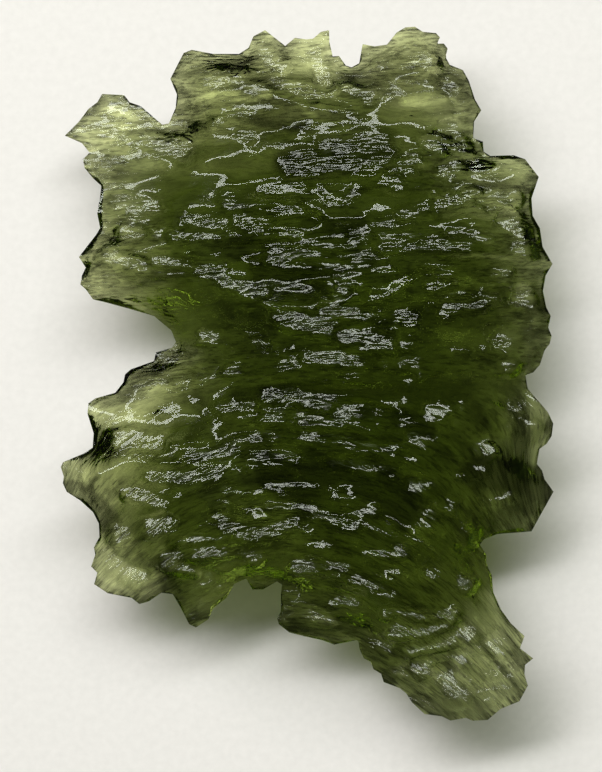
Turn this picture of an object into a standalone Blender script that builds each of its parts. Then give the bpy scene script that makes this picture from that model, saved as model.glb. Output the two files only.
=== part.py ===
"""A moldavite: one natural piece of green glass, pitted, furrowed and toothed, lying on its back face."""
import math

import bmesh
import bpy
import numpy as np

MM = 0.001

# Driving dimensions, in millimetres; X to the right, Y along the stone, Z up out of the paper it lies on.
LENGTH = 36.1
WIDTH = 25.6
RIM_HEIGHT = 3.0
CROWN_HEIGHT = 5.0
KEEL_DEPTH = 3.2
BLUNT_EDGE = 0.4
BLUNT_REACH = 0.8

# How far in from the rim a face needs to rise, and the distance from the rim to the middle of the stone.
RISE_REACH = 10.0
MIDDLE_GAP = 8.4

# Cells of the surface grid between the corners of the outline.
CELLS_ACROSS = 42
CELLS_ALONG = 56

# The outline seen from above, in stretches between the four corners of the surface grid.
TOP_EDGE = [
    (-10.70, 14.57), (-9.55, 14.50), (-9.25, 14.12), (-8.65, 13.90), (-8.00, 13.30), (-7.55, 12.93),
    (-7.20, 13.00), (-6.85, 13.80), (-6.78, 14.50), (-7.12, 15.30), (-6.92, 15.78), (-6.66, 16.15),
    (-6.42, 16.62), (-6.00, 16.78), (-4.90, 16.57), (-3.55, 16.57), (-3.05, 16.90), (-2.80, 17.50),
    (-2.20, 17.83), (-1.60, 17.35), (-1.15, 17.02), (-0.65, 17.45), (-0.05, 17.38), (0.30, 17.42),
    (0.70, 17.78), (1.13, 17.88), (1.15, 17.25), (1.32, 16.50), (1.65, 16.53), (2.00, 16.03), (2.30, 15.93),
    (2.70, 16.15), (2.88, 17.15), (3.50, 17.03), (4.15, 17.12), (4.65, 17.75), (5.10, 18.02), (5.60, 18.05),
    (6.00, 17.78), (6.70, 17.70), (6.90, 17.48), (6.75, 17.15), (7.10, 17.15), (7.30, 16.88), (7.18, 16.45),
    (7.40, 16.03), (8.08, 15.75)]
RIGHT_EDGE = [
    (8.08, 15.75), (8.38, 15.20), (8.70, 14.20), (9.02, 13.65), (8.65, 13.05), (8.60, 12.20), (9.10, 12.02),
    (9.15, 11.50), (9.50, 11.28), (10.70, 11.32), (11.30, 11.12), (11.60, 10.65), (12.02, 10.20),
    (11.85, 9.75), (11.65, 9.10), (11.72, 8.20), (12.10, 7.55), (12.25, 6.60), (12.45, 6.20), (12.77, 5.70),
    (12.68, 5.42), (12.42, 5.10), (12.28, 4.30), (12.45, 3.45), (12.68, 3.00), (12.55, 2.40), (12.72, 1.95),
    (12.62, 1.55), (12.35, 1.20), (12.10, 0.45), (11.75, 0.05), (11.35, -0.08), (11.47, -0.80),
    (11.85, -1.35), (12.50, -2.00), (12.78, -2.60), (12.70, -3.25), (12.45, -3.65), (12.08, -3.92),
    (11.95, -4.70), (12.22, -5.05), (12.35, -5.50), (12.82, -6.15), (12.45, -6.90), (12.05, -7.50),
    (11.68, -8.22), (11.00, -8.20), (9.90, -8.35), (9.20, -8.62), (8.98, -8.90), (9.30, -9.40),
    (9.30, -9.85), (9.58, -10.50), (9.65, -11.35), (10.05, -12.25), (10.55, -12.95), (11.27, -13.62),
    (11.03, -14.25), (11.72, -14.78), (11.30, -15.12), (11.27, -15.60), (11.45, -16.20), (11.22, -16.60),
    (11.02, -17.02), (10.05, -17.42), (9.38, -18.00)]
BOTTOM_EDGE = [
    (9.38, -18.00), (8.60, -18.05), (8.25, -17.90), (7.45, -18.05), (7.00, -17.83), (6.10, -17.72),
    (5.45, -17.12), (5.15, -16.65), (4.80, -16.38), (3.98, -16.08), (3.85, -15.65), (3.45, -15.40),
    (3.30, -15.02), (2.95, -14.85), (2.72, -14.35), (2.65, -13.87), (2.10, -13.98), (1.40, -14.13),
    (0.80, -13.90), (-0.20, -13.68), (-0.95, -13.48), (-1.48, -13.05), (-1.58, -12.72), (-1.38, -12.40),
    (-1.38, -11.50), (-1.32, -10.98), (-1.58, -10.80), (-2.30, -11.22), (-2.85, -11.22), (-3.18, -10.65),
    (-3.80, -10.92), (-4.20, -11.65), (-4.90, -12.20), (-5.15, -12.78), (-5.80, -13.20), (-6.15, -13.02),
    (-6.60, -12.15), (-7.00, -11.47), (-7.60, -11.40), (-8.25, -11.85), (-8.75, -12.00), (-9.15, -11.68),
    (-10.40, -11.45), (-11.12, -10.98)]
LEFT_EDGE = [
    (-11.12, -10.98), (-10.95, -10.38), (-11.27, -10.05), (-11.05, -9.42), (-11.12, -9.05), (-10.82, -8.50),
    (-10.85, -7.80), (-11.15, -7.20), (-11.80, -6.60), (-12.50, -6.15), (-12.70, -5.70), (-12.65, -5.35),
    (-12.80, -4.85), (-12.68, -4.60), (-11.60, -4.15), (-11.15, -3.85), (-11.10, -3.10), (-11.42, -2.10),
    (-11.38, -1.55), (-11.00, -1.28), (-10.00, -1.00), (-9.58, -0.45), (-9.50, -0.05), (-9.20, 0.22),
    (-8.00, 0.65), (-7.90, 1.10), (-7.05, 1.35), (-6.85, 1.65), (-7.10, 2.25), (-8.00, 3.00), (-9.20, 3.35),
    (-10.50, 3.70), (-11.15, 3.85), (-11.50, 4.35), (-11.80, 4.62), (-11.72, 5.08), (-11.52, 5.50),
    (-11.87, 6.05), (-11.45, 6.60), (-10.98, 7.20), (-10.77, 7.55), (-10.92, 8.30), (-10.78, 9.20),
    (-10.72, 9.75), (-11.15, 10.15), (-11.60, 10.70), (-11.70, 11.15), (-11.35, 11.50), (-11.75, 12.00),
    (-12.65, 12.40), (-11.95, 13.10), (-11.42, 13.80), (-10.95, 14.15), (-10.70, 14.57)]

# Thin parts: centre X and Y, reach in X and Y, share of the thickness that is missing (below zero, thicker).
THIN_PARTS = [
    (-10.3, 11.8, 3.4, 2.9, 0.44), (-5.4, 15.2, 2.2, 1.8, -0.30), (5.2, 15.8, 3.2, 1.2, -0.25),
    (0.2, 16.6, 1.6, 1.2, 0.15), (8.6, 11.0, 2.6, 2.6, 0.26), (12.0, -3.0, 1.6, 1.8, 0.10),
    (8.4, -16.0, 3.8, 3.2, 0.64), (-9.8, -10.2, 2.6, 2.3, 0.34), (-5.6, -12.2, 1.5, 1.6, 0.25),
    (10.6, -5.6, 2.0, 1.2, -0.20), (-9.2, -0.6, 1.8, 0.9, -0.25), (-8.4, -5.2, 1.8, 3.6, 0.15),
    (6.0, 13.2, 2.2, 1.2, 0.15), (-10.4, 8.4, 2.0, 1.6, 0.22),
    (-7.6, 9.6, 1.8, 1.8, 0.22)]

# Smooth scoops: centre X and Y, reach along and across, turn in degrees, depth (below zero a swelling).
SCOOPS = [
    (-3.8, 10.6, 2.3, 1.9, 0, 0.25), (-4.0, 14.0, 1.4, 0.8, 0, 0.40), (5.5, 13.1, 2.1, 1.6, 15, 0.60),
    (-8.0, -2.1, 3.1, 1.3, 4, 0.90), (9.0, 1.9, 2.3, 0.9, 0, 0.65), (4.6, 8.8, 1.7, 0.8, 8, 0.50),
    (8.3, 7.7, 1.9, 0.7, 5, 0.40), (1.6, 9.5, 1.1, 0.8, 0, 0.70), (1.6, 4.4, 0.95, 0.9, 0, 0.35),
    (-9.2, -7.1, 1.7, 1.0, 0, 0.30), (-2.2, -10.0, 2.0, 0.9, 0, 0.40), (-9.6, -10.3, 1.5, 1.0, 0, 0.35),
    (9.2, -11.6, 1.2, 2.2, 12, 0.35), (7.6, -16.6, 1.3, 1.0, 0, 0.35), (-9.4, 9.6, 1.9, 1.1, 0, 0.40),
    (0.0, 15.6, 1.5, 1.0, 0, 0.40), (7.6, 3.7, 0.9, 0.7, 0, 0.40), (-6.9, 12.1, 1.0, 0.7, 0, 0.30),
    (-2.2, 16.9, 0.8, 0.7, 0, -0.40), (0.7, 17.0, 0.7, 0.8, 0, -0.30), (-5.6, 15.7, 1.2, 0.9, 0, -0.20),
    (5.4, 17.2, 1.1, 0.8, 0, -0.35), (6.8, 4.6, 0.8, 0.6, 0, -0.30), (11.9, -3.1, 0.9, 1.3, 0, -0.30),
    (-1.7, 11.4, 0.8, 0.7, 0, -0.30), (2.0, 13.9, 0.9, 0.8, 0, -0.30)]

# Long furrows and ridges: start, bend and end points, half width, depth (below zero is a ridge).
FURROWS = [
    ((-11.6, 4.6), (-7.6, 4.1), (-2.4, 2.6), 1.25, 0.75),
    ((5.8, 5.75), (8.5, 5.55), (11.6, 5.8), 0.55, 0.45),
    ((0.0, -1.0), (5.0, -0.9), (11.2, -0.8), 0.95, 0.65),
    ((1.2, 15.4), (2.2, 14.5), (3.3, 15.8), 0.60, 0.55),
    ((3.0, 15.4), (5.5, 15.0), (8.0, 15.3), 0.60, 0.40),
    ((-9.6, -0.2), (-8.8, -0.7), (-7.6, -0.9), 0.55, 0.40),
    ((-12.2, -5.9), (-11.3, -7.0), (-10.2, -7.7), 0.60, 0.40),
    ((-4.8, -7.3), (-3.0, -9.3), (-0.3, -7.4), 0.70, 0.50),
    ((2.3, -5.3), (4.0, -6.5), (5.2, -7.2), 0.85, 0.65),
    ((-4.8, -2.2), (-3.5, -2.9), (-2.2, -3.3), 0.85, 0.55),
    ((-2.4, -4.6), (-1.0, -5.8), (0.4, -6.6), 0.90, 0.65),
    ((8.8, -5.6), (10.3, -5.3), (11.8, -5.7), 0.70, 0.55),
    ((-4.8, 6.3), (-3.2, 6.5), (-1.6, 6.2), 0.75, 0.50), ((-2.4, 4.9), (-1.0, 4.6), (0.6, 4.4), 0.80, 0.50),
    ((-7.3, -9.6), (-7.2, -10.6), (-7.1, -11.6), 0.60, 0.65),
    ((-6.5, 14.2), (-6.0, 13.0), (-6.4, 11.4), 0.65, 0.65),
    ((-0.5, -11.3), (1.6, -10.6), (3.2, -13.2), 0.75, 0.40),
    ((6.0, -9.2), (7.6, -10.6), (8.0, -13.0), 0.70, 0.40),
    ((-10.6, 7.4), (-7.0, 7.9), (-3.6, 8.4), 0.80, 0.30), ((3.4, 4.4), (6.0, 3.2), (9.6, 3.1), 0.60, 0.35),
    ((-6.6, -5.9), (-4.0, -6.3), (-2.4, -6.8), 0.70, 0.40),
    ((-12.6, -5.0), (-10.0, -4.8), (-6.6, -4.6), 0.60, -0.35),
    ((7.2, -2.5), (10.0, -3.0), (12.5, -3.0), 0.50, -0.35),
    ((3.8, 6.5), (8.0, 6.5), (11.6, 6.6), 0.50, -0.30), ((-3.9, 7.7), (-2.0, 8.0), (0.0, 7.5), 0.70, -0.30),
    ((7.3, 10.2), (10.0, 10.8), (12.1, 9.9), 0.70, -0.10),
    ((1.3, -9.6), (4.2, -10.6), (6.2, -13.8), 0.70, -0.40),
    ((-11.2, -0.8), (-7.6, 0.2), (-4.9, -2.1), 0.45, -0.30),
    ((-10.8, -3.7), (-8.6, -4.1), (-5.4, -3.4), 0.45, -0.25),
    ((-9.0, -5.9), (-6.4, -5.2), (-3.6, -5.4), 0.50, -0.25),
    ((-10.9, 5.8), (-8.0, 5.1), (-4.4, 5.4), 0.50, -0.30),
    ((0.2, -2.3), (3.0, -3.0), (6.2, -4.7), 0.60, -0.30),
    ((-6.9, -9.3), (-5.0, -9.7), (-2.9, -9.0), 0.50, -0.30),
    ((8.9, -14.4), (10.2, -15.2), (10.3, -16.6), 0.50, -0.30)]

# Low lumps on the back face that carry the stone: centre X and Y and reach.
FEET = [(-4.6, 7.4, 4.2), (4.8, 7.0, 4.2), (4.2, -7.4, 4.0), (-4.8, -5.6, 4.0)]

# Scoops and furrows of the back face, in the same form as those of the front.
BACK_SCOOPS = [
    (0.4, 12.2, 2.6, 1.5, 0, 0.7), (0.2, 2.0, 3.4, 2.3, 10, 0.6), (9.4, 2.2, 1.8, 1.6, 0, 0.5),
    (0.6, -7.4, 2.3, 1.9, 0, 0.6), (-8.6, 2.0, 1.5, 2.2, 0, 0.4), (7.6, -15.6, 1.8, 1.3, 0, 0.4)]
BACK_FURROWS = [
    ((-10.0, 7.0), (-3.0, 6.0), (1.6, 6.6), 0.80, 0.8),
    ((-9.4, -1.2), (-4.0, -2.6), (2.0, -2.8), 0.80, 0.8),
    ((4.0, -4.6), (7.0, -3.8), (11.4, -4.4), 0.75, 0.7),
    ((-3.0, -10.6), (0.0, -11.6), (2.4, -10.6), 0.75, 0.6),
    ((2.8, 14.6), (5.4, 13.4), (8.0, 13.8), 0.70, 0.6)]


def share_out(points, cells):
    """Cells + 1 outline points: the longest gaps halved or the flattest points left out until they fit."""
    pts = [np.array(p) for p in points]
    while len(pts) < cells + 1:
        gaps = [np.linalg.norm(b - a) for a, b in zip(pts, pts[1:])]
        k = int(np.argmax(gaps))
        pts.insert(k + 1, 0.5 * (pts[k] + pts[k + 1]))
    while len(pts) > cells + 1:
        flat = []
        for a, b, c in zip(pts, pts[1:], pts[2:]):
            chord = c - a
            flat.append(abs(chord[0] * (b - a)[1] - chord[1] * (b - a)[0]) / np.linalg.norm(chord))
        pts.pop(int(np.argmin(flat)) + 1)
    return np.array(pts)


def outline_sides():
    """The outline's right, top, left and bottom sides along the grid, scaled to the width and length."""
    right = share_out(RIGHT_EDGE[::-1], CELLS_ALONG)
    top = share_out(TOP_EDGE, CELLS_ACROSS)
    left = share_out(LEFT_EDGE, CELLS_ALONG)
    bottom = share_out(BOTTOM_EDGE[::-1], CELLS_ACROSS)
    every = np.concatenate([right, top, left, bottom])
    low, high = every.min(axis=0), every.max(axis=0)
    scale = np.array([WIDTH, LENGTH]) / (high - low)
    return [(side - (low + high) / 2) * scale for side in (right, top, left, bottom)]


def relaxed(plan, rounds):
    """The grid evened out so that no cell folds: rounds of inverse Laplace equations, the rim held."""
    plan = plan.copy()
    for _ in range(rounds):
        along_u = (plan[1:-1, 2:] - plan[1:-1, :-2]) / 2
        along_v = (plan[2:, 1:-1] - plan[:-2, 1:-1]) / 2
        twist = plan[2:, 2:] - plan[2:, :-2] - plan[:-2, 2:] + plan[:-2, :-2]
        a = (along_v ** 2).sum(-1, keepdims=True)
        c = (along_u ** 2).sum(-1, keepdims=True)
        b = (along_u * along_v).sum(-1, keepdims=True)
        even = a * (plan[1:-1, 2:] + plan[1:-1, :-2]) + c * (plan[2:, 1:-1] + plan[:-2, 1:-1])
        even -= b * twist / 2
        plan[1:-1, 1:-1] += 0.9 * (even / (2 * (a + c)) - plan[1:-1, 1:-1])
    return plan


def plan_grid(right, top, left, bottom):
    """Plan points of the grid: the four sides blended as a Coons patch, then relaxed."""
    u = np.linspace(0, 1, CELLS_ACROSS + 1)[None, :, None]
    v = np.linspace(0, 1, CELLS_ALONG + 1)[:, None, None]
    sides = (1 - v) * bottom[None] + v * top[None] + (1 - u) * left[:, None] + u * right[:, None]
    corners = (1 - v) * ((1 - u) * bottom[0] + u * bottom[-1]) + v * ((1 - u) * top[0] + u * top[-1])
    return relaxed(sides - corners, 400)


def lattice(i, j, seed):
    """A fixed number from 0 to 1 for each whole pair: the pair mixed by multiplying and folding its bits."""
    n = (i * 374761393 + j * 668265263 + seed * 1274126177) & 0xFFFFFFFF
    n = ((n ^ (n >> 13)) * 1103515245) & 0xFFFFFFFF
    return ((n ^ (n >> 16)) & 0xFFFF) / 65535.0


def noise(x, y, seed):
    """Smooth noise from -1 to 1: lattice numbers blended by the curve 3t^2 - 2t^3 in each cell."""
    i, j = np.floor(x).astype(np.int64), np.floor(y).astype(np.int64)
    fx, fy = x - i, y - j
    fx, fy = fx * fx * (3 - 2 * fx), fy * fy * (3 - 2 * fy)
    low = lattice(i, j, seed) * (1 - fx) + lattice(i + 1, j, seed) * fx
    high = lattice(i, j + 1, seed) * (1 - fx) + lattice(i + 1, j + 1, seed) * fx
    return 2 * (low * (1 - fy) + high * fy) - 1


def dimples(x, y, seed):
    """Distance to the nearest of points strewn one to a cell, up to 1: round pits with sharp crests."""
    i, j = np.floor(x).astype(np.int64), np.floor(y).astype(np.int64)
    near = np.full(x.shape, 9.0)
    for di in (-1, 0, 1):
        for dj in (-1, 0, 1):
            px = i + di + lattice(i + di, j + dj, seed)
            py = j + dj + lattice(i + di, j + dj, seed + 7)
            near = np.minimum(near, (x - px) ** 2 + (y - py) ** 2)
    return np.minimum(np.sqrt(near), 1.0)


def hollow(x, y, scoops):
    """Depth of all scoops: each deep * exp(-(a^2 + b^2)^1.3) on a turned ellipse."""
    depth = np.zeros_like(x)
    for cx, cy, rx, ry, turn, deep in scoops:
        c, s = math.cos(math.radians(turn)), math.sin(math.radians(turn))
        a = ((x - cx) * c + (y - cy) * s) / rx
        b = (-(x - cx) * s + (y - cy) * c) / ry
        depth += deep * np.exp(-(a * a + b * b) ** 1.3)
    return depth


def stroke_depth(x, y, strokes):
    """Depth of all furrows: deep * exp(-(distance / half)^2), measured from points on the bent line."""
    depth = np.zeros_like(x)
    for start, bend, end, half, deep in strokes:
        near = np.full_like(x, 1e9)
        for t in np.linspace(0.0, 1.0, 25):
            px = (1 - t) ** 2 * start[0] + 2 * t * (1 - t) * bend[0] + t * t * end[0]
            py = (1 - t) ** 2 * start[1] + 2 * t * (1 - t) * bend[1] + t * t * end[1]
            near = np.minimum(near, (x - px) ** 2 + (y - py) ** 2)
        depth += deep * np.exp(-near / (half * half))
    return depth


def warp(x, y):
    """Plan point moved by slow noise of half a millimetre, so that no scoop or furrow looks drawn."""
    return (x + 0.50 * noise(x / 1.9, y / 1.3, 31) + 0.20 * noise(x / 0.9, y / 0.7, 33),
            y + 0.38 * noise(x / 2.3, y / 1.5, 32) + 0.16 * noise(x / 0.9, y / 0.7, 34))


def flow_line(x, y):
    """A number that stays the same along the glass flow: level above, arched down to the right below."""
    fall = 1 / (1 + np.exp((y + 4.0) / 2.0))
    return y - 0.05 * x * (1 - fall) + 0.05 * fall * (x + 1.0) ** 2


def ripples(x, y):
    """Rolling waves across the flow, bent by two slower waves."""
    band = flow_line(x, y)
    wander = 1.3 * np.sin(0.55 * x + 0.3 * band) + 0.9 * np.sin(1.1 * x - 0.7 * band + 1.0)
    return 0.10 * np.sin(2.3 * band + wander) + 0.05 * np.sin(3.4 * band - 1.3 * wander + 2.0)


def lumps(x, y):
    """Etched cells drawn out along the flow, round hollows with sharp crests between, on slower swells."""
    band = flow_line(x, y)
    wander = 0.45 * noise(x / 2.6, band / 1.7, 51)
    cells = dimples(x / 3.3 + wander, band / 1.5 + 0.6 * wander, 52) - 0.55
    return 0.45 * cells + 0.15 * noise(x / 2.2, band / 1.1, 53)


def thickness_share(x, y):
    """One in the body of the stone, less in its thin wings, lobes and tip."""
    share = np.ones_like(x)
    for cx, cy, rx, ry, missing in THIN_PARTS:
        share *= 1 - missing * np.exp(-((x - cx) / rx) ** 2 - ((y - cy) / ry) ** 2)
    return share


def edge_gap(x, y, loop):
    """Distance to the outline, softened inwards: (2/pi * sum of step / r^4)^(-1/3) walked along it."""
    pull = np.zeros_like(x)
    for a, b in zip(loop, np.roll(loop, -1, axis=0)):
        side = np.linalg.norm(b - a)
        count = max(1, int(math.ceil(side / 0.30)))
        for k in range(count):
            px, py = a + (b - a) * (k + 0.5) / count
            pull += (side / count) / ((x - px) ** 2 + (y - py) ** 2 + 0.02) ** 2
    gap = (pull * 2 / math.pi) ** (-1 / 3)
    return np.sqrt(gap * gap + 0.04) - 0.2


def rim_height(x, y):
    """Height of the sharp rim above the paper, gently waving round the stone."""
    return RIM_HEIGHT + 0.45 * np.sin(0.42 * x + 0.8) * np.cos(0.21 * y) + 0.30 * np.sin(0.5 * y + 0.2 * x)


def soft_step(low, high, value):
    """Zero at low, one at high (either may be the larger), joined by the curve 3t^2 - 2t^3."""
    t = np.clip((value - low) / (high - low), 0, 1)
    return t * t * (3 - 2 * t)


def front_height(x, y, gap):
    """Rim, blunt edge and crown * (1 - e^(-gap / reach)), whole in the middle of the stone, less the cuts."""
    uneven = gap * (1 + 0.15 * noise(x / 2.0, y / 1.4, 61))
    rise = (1 - np.exp(-uneven / RISE_REACH)) / (1 - math.exp(-MIDDLE_GAP / RISE_REACH))
    wx, wy = warp(x, y)
    cut = hollow(wx, wy, SCOOPS) + stroke_depth(wx, wy, FURROWS) - ripples(x, y) - lumps(x, y)
    crown = (CROWN_HEIGHT - BLUNT_EDGE) * thickness_share(x, y) * rise
    blunt = BLUNT_EDGE * soft_step(0.60, 0.95, thickness_share(x, y)) * (1 - np.exp(-gap / BLUNT_REACH))
    return rim_height(x, y) + blunt + crown - cut * (1 - np.exp(-gap / 2.0))


def back_height(x, y, gap):
    """Rim - keel * (1 - e^(-gap / reach)), whole in the middle, + cuts; four feet are cut level at the paper."""
    uneven = gap * (1 + 0.12 * noise(x / 1.8, y / 1.3, 62))
    fall = (1 - np.exp(-uneven / RISE_REACH)) / (1 - math.exp(-MIDDLE_GAP / RISE_REACH))
    wx, wy = warp(-x, y)
    cut = hollow(-wx, wy, BACK_SCOOPS) + stroke_depth(-wx, wy, BACK_FURROWS) + ripples(-x, y + 3.0)
    cut = 0.6 * cut + 0.4 * lumps(-x, y + 5.0)
    fade = 1 - np.exp(-gap / 1.2)
    raw = rim_height(x, y) - KEEL_DEPTH * thickness_share(x, y) ** 0.6 * fall + cut * fade
    for cx, cy, reach in FEET:
        near = np.exp(-((x - cx) ** 2 + (y - cy) ** 2) / reach ** 2)
        raw = raw * (1 - near) - 0.20 * near
    return np.maximum(raw, 0.0)


def sheet(bm, plan, heights, top):
    """One face of the stone: Blender's grid moved to the plan points and lifted to their heights."""
    made = bmesh.ops.create_grid(bm, x_segments=CELLS_ACROSS, y_segments=CELLS_ALONG, size=1.0)["verts"]
    for vert in made:
        i = round((vert.co.x + 1) / 2 * CELLS_ACROSS)
        j = round((vert.co.y + 1) / 2 * CELLS_ALONG)
        vert.co = (plan[j, i, 0] * MM, plan[j, i, 1] * MM, heights[j, i] * MM)
    if not top:
        bmesh.ops.reverse_faces(bm, faces=list({f for v in made for f in v.link_faces}))


def glass_material():
    """Bottle green natural glass."""
    mat = bpy.data.materials.new("moldavite_glass")
    mat.use_nodes = True
    shader = mat.node_tree.nodes["Principled BSDF"]
    shader.inputs["Base Color"].default_value = (0.13, 0.17, 0.04, 1.0)
    shader.inputs["Roughness"].default_value = 0.18
    shader.inputs["Metallic"].default_value = 0.0
    shader.inputs["Alpha"].default_value = 0.75
    return mat


def build():
    """The stone as one closed body: a front and a back face on the same plan, joined along the rim."""
    for old in list(bpy.data.objects):
        bpy.data.objects.remove(old, do_unlink=True)
    right, top, left, bottom = outline_sides()
    plan = plan_grid(right, top, left, bottom)
    x, y = plan[..., 0], plan[..., 1]
    on_rim = np.ones(x.shape, dtype=bool)
    on_rim[1:-1, 1:-1] = False
    rim = rim_height(x, y)
    gap = edge_gap(x, y, np.concatenate([right[:-1], top[:0:-1], left[:0:-1], bottom[:-1]]))
    bm = bmesh.new()
    sheet(bm, plan, np.where(on_rim, rim, front_height(x, y, gap)), True)
    sheet(bm, plan, np.where(on_rim, rim, back_height(x, y, gap)), False)
    bmesh.ops.remove_doubles(bm, verts=bm.verts, dist=0.000001)
    bmesh.ops.triangulate(bm, faces=bm.faces)
    mesh = bpy.data.meshes.new("moldavite")
    bm.to_mesh(mesh)
    bm.free()
    mesh.materials.append(glass_material())
    stone = bpy.data.objects.new("moldavite", mesh)
    bpy.context.scene.collection.objects.link(stone)
    return stone


build()
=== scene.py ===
"""Looks of the moldavite: a toothed, furrowed piece of bottle green natural glass lying on pale paper."""
import math

import bpy
import numpy as np
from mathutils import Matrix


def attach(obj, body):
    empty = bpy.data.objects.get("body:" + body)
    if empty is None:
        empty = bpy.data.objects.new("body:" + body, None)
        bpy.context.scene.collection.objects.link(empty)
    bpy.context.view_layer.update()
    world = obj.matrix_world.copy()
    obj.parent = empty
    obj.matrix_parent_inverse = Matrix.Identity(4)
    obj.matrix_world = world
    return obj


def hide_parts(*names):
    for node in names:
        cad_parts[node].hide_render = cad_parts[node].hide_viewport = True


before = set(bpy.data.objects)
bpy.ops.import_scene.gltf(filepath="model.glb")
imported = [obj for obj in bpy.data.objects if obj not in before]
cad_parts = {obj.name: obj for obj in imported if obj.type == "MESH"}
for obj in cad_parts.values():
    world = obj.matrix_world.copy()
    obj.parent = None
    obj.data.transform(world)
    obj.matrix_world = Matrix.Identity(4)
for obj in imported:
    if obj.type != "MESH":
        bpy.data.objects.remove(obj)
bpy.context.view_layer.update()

MM = 0.001

# Driving dimensions of the stone, in millimetres, the same as those of its solid.
LENGTH = 36.1
WIDTH = 25.6
RIM_HEIGHT = 3.0
CROWN_HEIGHT = 5.0
KEEL_DEPTH = 3.2
BLUNT_EDGE = 0.4
BLUNT_REACH = 0.8

# How far in from the rim each face needs to rise, and the distance from the rim to the stone's middle.
RISE_REACH = 10.0
MIDDLE_GAP = 8.4

# How far in from the rim the furrows and the fine relief reach most of their depth.
CUT_REACH = 2.0
FINE_REACH = 1.2

# The surface grid: cells between the corners of the outline, and how finely each is divided.
CELLS_ACROSS = 42
CELLS_ALONG = 56
FINE_ACROSS = 4
FINE_ALONG = 5

# Parts into which a stroke's curve is divided.
STROKE_STEPS = 24

# Planed facets: length, blending reach squared, fall along Y and rise along X, and their change per mm.
FACET_LENGTH = 1.1
FACET_BLEND = 0.60
FACET_FALL = 0.35
FACET_FALL_CHANGE = 0.0031
FACET_TURN = 0.10
FACET_TURN_CHANGE = 0.0035

# The glass: index, absorption's colour and density, tint of its shadow, look of its etched skin.
GLASS_INDEX = 1.36
GLASS_GREEN = (0.47, 0.57, 0.00, 1.0)
GLASS_DENSITY = 192.0
SHADOW_TINT = (0.43, 0.45, 0.39, 1.0)
SKIN_STAIN = (0.82, 0.88, 0.46)
SKIN_ROUGHNESS = 0.05
BUMP_DEPTH = 0.057

# Cells per millimetre of the skin's patterns: along X, across the flow and through the thickness.
DASH_CELLS = (2.0, 6.2, 2.0)
CREASE_CELLS = (0.9, 2.4, 0.9)
STREAK_CELLS = (0.5, 1.8, 0.5)
THREAD_CELLS = (1.6, 9.0, 1.6)

# The paper: half of its side in metres, tone and fibres per metre.
PAPER_HALF = 0.6
PAPER_TONE = (0.83, 0.79, 0.79)
PAPER_FIBRES = 2500.0

# The camera: height of the picture at the rim, its middle in X and Y, focal length and film width.
PICTURE_HEIGHT = 40.14
PICTURE_MIDDLE = (-0.34, -0.65)
LENS = 200.0
FILM_WIDTH = 36.0

# The outline as four sides, walked clockwise from the upper left corner, seen from above.
TOP_EDGE = [
    (-10.7, 14.57), (-9.55, 14.5), (-9.25, 14.12), (-8.65, 13.9), (-8.0, 13.3), (-7.55, 12.93),
    (-7.2, 13.0), (-6.85, 13.8), (-6.78, 14.5), (-7.12, 15.3), (-6.92, 15.78), (-6.66, 16.15),
    (-6.42, 16.62), (-6.0, 16.78), (-4.9, 16.57), (-3.55, 16.57), (-3.05, 16.9), (-2.8, 17.5),
    (-2.2, 17.83), (-1.6, 17.35), (-1.15, 17.02), (-0.65, 17.45), (-0.05, 17.38), (0.3, 17.42),
    (0.7, 17.78), (1.13, 17.88), (1.15, 17.25), (1.32, 16.5), (1.65, 16.53), (2.0, 16.03), (2.3, 15.93),
    (2.7, 16.15), (2.88, 17.15), (3.5, 17.03), (4.15, 17.12), (4.65, 17.75), (5.1, 18.02), (5.6, 18.05),
    (6.0, 17.78), (6.7, 17.7), (6.9, 17.48), (6.75, 17.15), (7.1, 17.15), (7.3, 16.88), (7.18, 16.45),
    (7.4, 16.03), (8.08, 15.75)]
RIGHT_EDGE = [
    (8.08, 15.75), (8.38, 15.2), (8.7, 14.2), (9.02, 13.65), (8.65, 13.05), (8.6, 12.2), (9.1, 12.02),
    (9.15, 11.5), (9.5, 11.28), (10.7, 11.32), (11.3, 11.12), (11.6, 10.65), (12.02, 10.2),
    (11.85, 9.75), (11.65, 9.1), (11.72, 8.2), (12.1, 7.55), (12.25, 6.6), (12.45, 6.2), (12.77, 5.7),
    (12.68, 5.42), (12.42, 5.1), (12.28, 4.3), (12.45, 3.45), (12.68, 3.0), (12.55, 2.4), (12.72, 1.95),
    (12.62, 1.55), (12.35, 1.2), (12.1, 0.45), (11.75, 0.05), (11.35, -0.08), (11.47, -0.8),
    (11.85, -1.35), (12.5, -2.0), (12.78, -2.6), (12.7, -3.25), (12.45, -3.65), (12.08, -3.92),
    (11.95, -4.7), (12.22, -5.05), (12.35, -5.5), (12.82, -6.15), (12.45, -6.9), (12.05, -7.5),
    (11.68, -8.22), (11.0, -8.2), (9.9, -8.35), (9.2, -8.62), (8.98, -8.9), (9.3, -9.4), (9.3, -9.85),
    (9.58, -10.5), (9.65, -11.35), (10.05, -12.25), (10.55, -12.95), (11.27, -13.62), (11.03, -14.25),
    (11.72, -14.78), (11.3, -15.12), (11.27, -15.6), (11.45, -16.2), (11.22, -16.6), (11.02, -17.02),
    (10.05, -17.42), (9.38, -18.0)]
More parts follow.
